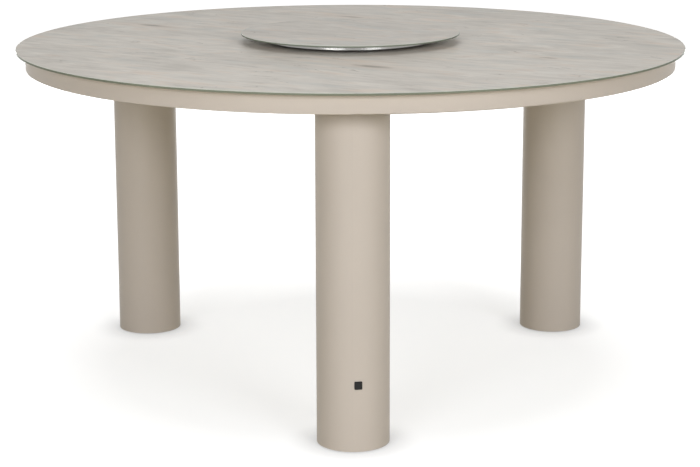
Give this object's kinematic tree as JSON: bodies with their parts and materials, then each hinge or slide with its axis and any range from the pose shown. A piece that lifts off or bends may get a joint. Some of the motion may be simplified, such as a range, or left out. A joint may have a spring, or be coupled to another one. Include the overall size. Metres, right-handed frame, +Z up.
{
  "type": "round dining table with lazy susan",
  "caption": "Round dining table with a printed glass top on a ring frame, thick tube legs with levelling feet, and a glass turntable that spins on a ball bearing ring.",
  "frame": {"origin": "on the floor under the middle of the tabletop", "axes": "+Z up; the single front leg stands on the -Y side; +X to the right seen from the front"},
  "size_m": [1.4998, 1.4998, 0.7725],
  "materials": {
    "printed_glass": "satin, opaque pale grey stone print",
    "powder_coat": "satin warm beige-grey powder coat",
    "zinc_steel": "zinc plated",
    "foot_plastic": "matte black moulded",
    "black_badge": "plain black",
    "soft_pad": "grey silicone",
    "clear_silicone": "clear silicone",
    "polished_aluminium": "polished",
    "ball_steel": "polished",
    "cage_plastic": "natural moulded"
  },
  "bodies": {
    "table": {"tabletop_glass": "printed_glass", "frame_ring": "powder_coat", "hub": "powder_coat", "leg_spoke_front": "powder_coat", "leg_spoke_right": "powder_coat", "leg_spoke_left": "powder_coat", "brace_spoke_back": "powder_coat", "brace_spoke_front_left": "powder_coat", "brace_spoke_front_right": "powder_coat", "mount_plate_front": "powder_coat", "mount_plate_right": "powder_coat", "mount_plate_left": "powder_coat", "leg_tube_front": "powder_coat", "leg_tube_right": "powder_coat", "leg_tube_left": "powder_coat", "leg_top_plate_front": "powder_coat", "leg_top_plate_right": "powder_coat", "leg_top_plate_left": "powder_coat", "leg_base_plate_front": "powder_coat", "leg_base_plate_right": "powder_coat", "leg_base_plate_left": "powder_coat", "leg_bolts": "zinc_steel", "leg_washers": "zinc_steel", "foot_nut_front": "zinc_steel", "foot_nut_right": "zinc_steel", "foot_nut_left": "zinc_steel", "leg_badge": "black_badge", "rim_pads": "soft_pad", "spoke_pads": "soft_pad"},
    "susan_base": {"susan_feet": "clear_silicone", "bearing_inner_ring": "polished_aluminium"},
    "turntable": {"bearing_outer_ring": "polished_aluminium", "susan_pads": "soft_pad", "susan_glass": "printed_glass"},
    "ball_train": {"ball_cage": "cage_plastic", "bearing_balls": "ball_steel"},
    "foot_front": {"foot_pad_front": "foot_plastic"},
    "stem_front": {"foot_stem_front": "zinc_steel"},
    "foot_right": {"foot_pad_right": "foot_plastic"},
    "stem_right": {"foot_stem_right": "zinc_steel"},
    "foot_left": {"foot_pad_left": "foot_plastic"},
    "stem_left": {"foot_stem_left": "zinc_steel"}
  },
  "joints": [
    {"name": "susan_lift", "type": "slide", "parent": "table", "child": "susan_base", "axis": [0, 0, 1], "range_m": [0, 0.25]},
    {"name": "turntable_spin", "type": "hinge", "parent": "susan_base", "child": "turntable", "pos_m": [0, 0, 0.7595], "axis": [0, 0, 1], "continuous": true},
    {"name": "ball_train_spin", "type": "hinge", "parent": "susan_base", "child": "ball_train", "pos_m": [0, 0, 0.75825], "axis": [0, 0, 1], "continuous": true},
    {"name": "foot_front_level", "type": "slide", "parent": "table", "child": "foot_front", "axis": [0, 0, -1], "range_m": [0, 0.015]},
    {"name": "stem_front_turn", "type": "hinge", "parent": "foot_front", "child": "stem_front", "pos_m": [0, -0.576, 0.03], "axis": [0, 0, -1], "range_deg": [0, 3600]},
    {"name": "foot_right_level", "type": "slide", "parent": "table", "child": "foot_right", "axis": [0, 0, -1], "range_m": [0, 0.015]},
    {"name": "stem_right_turn", "type": "hinge", "parent": "foot_right", "child": "stem_right", "pos_m": [0.49883, 0.288, 0.03], "axis": [0, 0, -1], "range_deg": [0, 3600]},
    {"name": "foot_left_level", "type": "slide", "parent": "table", "child": "foot_left", "axis": [0, 0, -1], "range_m": [0, 0.015]},
    {"name": "stem_left_turn", "type": "hinge", "parent": "foot_left", "child": "stem_left", "pos_m": [-0.49883, 0.288, 0.03], "axis": [0, 0, -1], "range_deg": [0, 3600]}
  ],
  "couplings": [
    {"joint": "ball_train_spin", "follows": "turntable_spin", "ratio": 0.50716},
    {"joint": "stem_front_turn", "follows": "foot_front_level", "rad_per_m": 4188.8},
    {"joint": "stem_right_turn", "follows": "foot_right_level", "rad_per_m": 4188.8},
    {"joint": "stem_left_turn", "follows": "foot_left_level", "rad_per_m": 4188.8}
  ]
}
